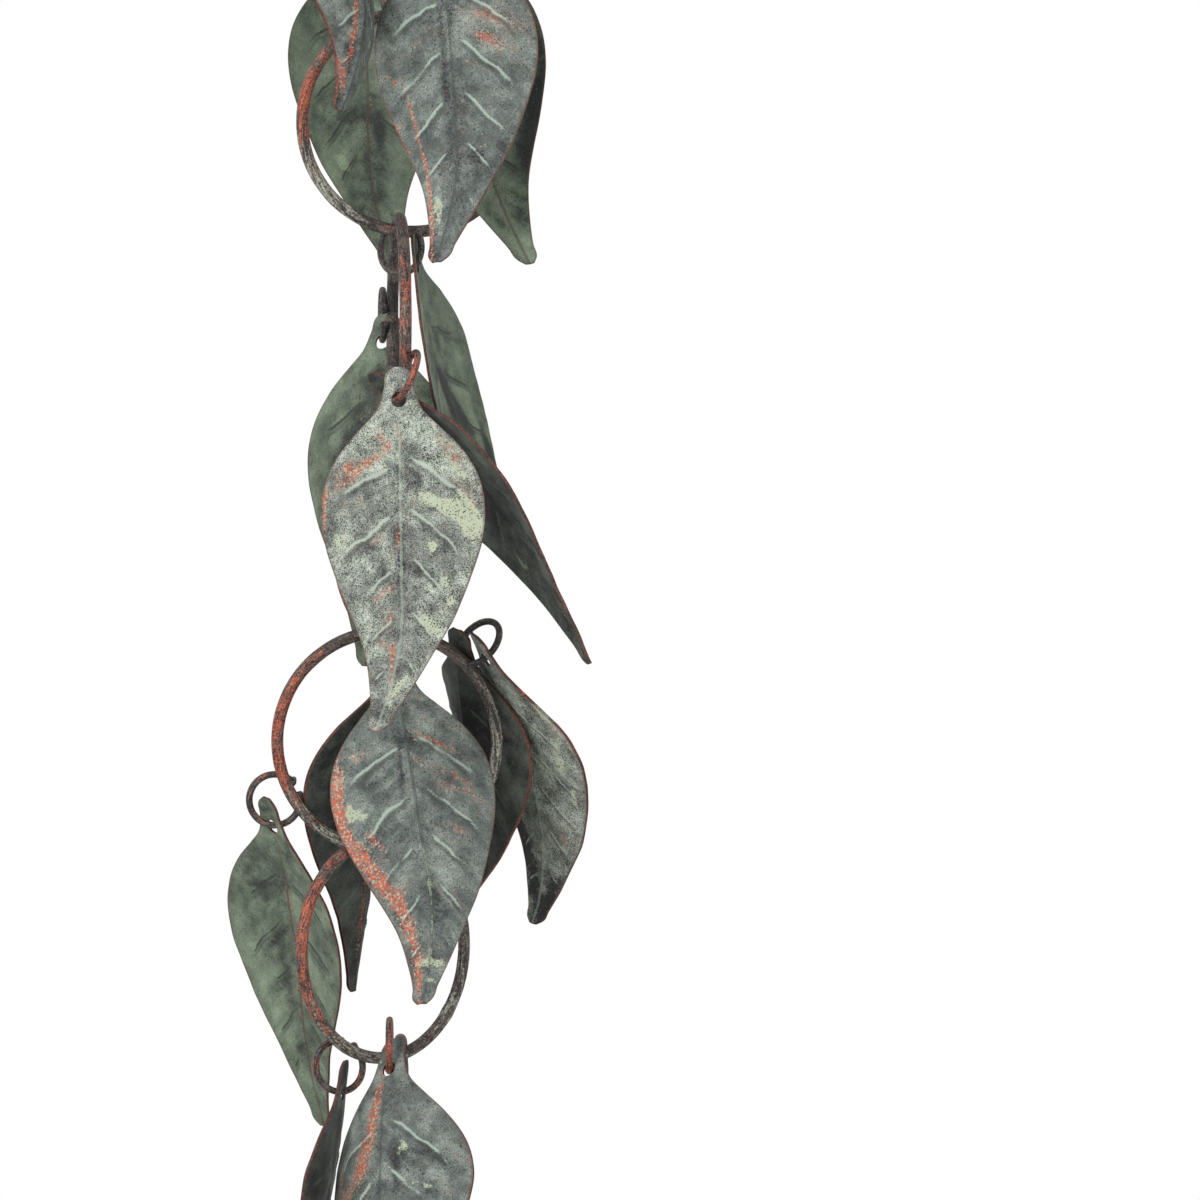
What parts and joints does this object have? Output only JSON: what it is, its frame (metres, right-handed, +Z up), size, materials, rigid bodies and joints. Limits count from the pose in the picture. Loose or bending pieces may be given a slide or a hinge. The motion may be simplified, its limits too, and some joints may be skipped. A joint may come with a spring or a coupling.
{
  "type": "rain chain",
  "caption": "Rain chain of linked copper wire rings with small brazed loops that carry pressed copper leaves, with a weathered patina.",
  "frame": {"origin": "inside top of the top ring, where the chain hangs on its hook", "axes": "+Z up along the hanging chain, -Y towards the front, +X to the right as seen from the front"},
  "size_m": [0.097, 0.1047, 0.535],
  "materials": {
    "ring_wire": "weathered copper, brown with orange wear",
    "loop_wire": "weathered copper, dark brown",
    "leaf_sheet": "weathered copper, speckled grey-green patina with orange wear"
  },
  "bodies": {
    "root": {"ring_1": "ring_wire", "ring_2": "ring_wire", "ring_3": "ring_wire", "ring_4": "ring_wire", "ring_5": "ring_wire", "ring_6": "ring_wire", "ring_7": "ring_wire", "ring_8": "ring_wire", "loop_01": "loop_wire", "loop_02": "loop_wire", "loop_03": "loop_wire", "loop_04": "loop_wire", "loop_05": "loop_wire", "loop_06": "loop_wire", "loop_07": "loop_wire", "loop_08": "loop_wire", "loop_09": "loop_wire", "loop_10": "loop_wire", "loop_11": "loop_wire", "loop_12": "loop_wire", "leaf_01": "leaf_sheet", "leaf_02": "leaf_sheet", "leaf_03": "leaf_sheet", "leaf_04": "leaf_sheet", "leaf_05": "leaf_sheet", "leaf_06": "leaf_sheet", "leaf_07": "leaf_sheet", "leaf_08": "leaf_sheet", "leaf_09": "leaf_sheet", "leaf_10": "leaf_sheet", "leaf_11": "leaf_sheet", "leaf_12": "leaf_sheet", "leaf_13": "leaf_sheet", "leaf_14": "leaf_sheet", "leaf_15": "leaf_sheet", "leaf_16": "leaf_sheet", "leaf_17": "leaf_sheet"}
  },
  "joints": []
}
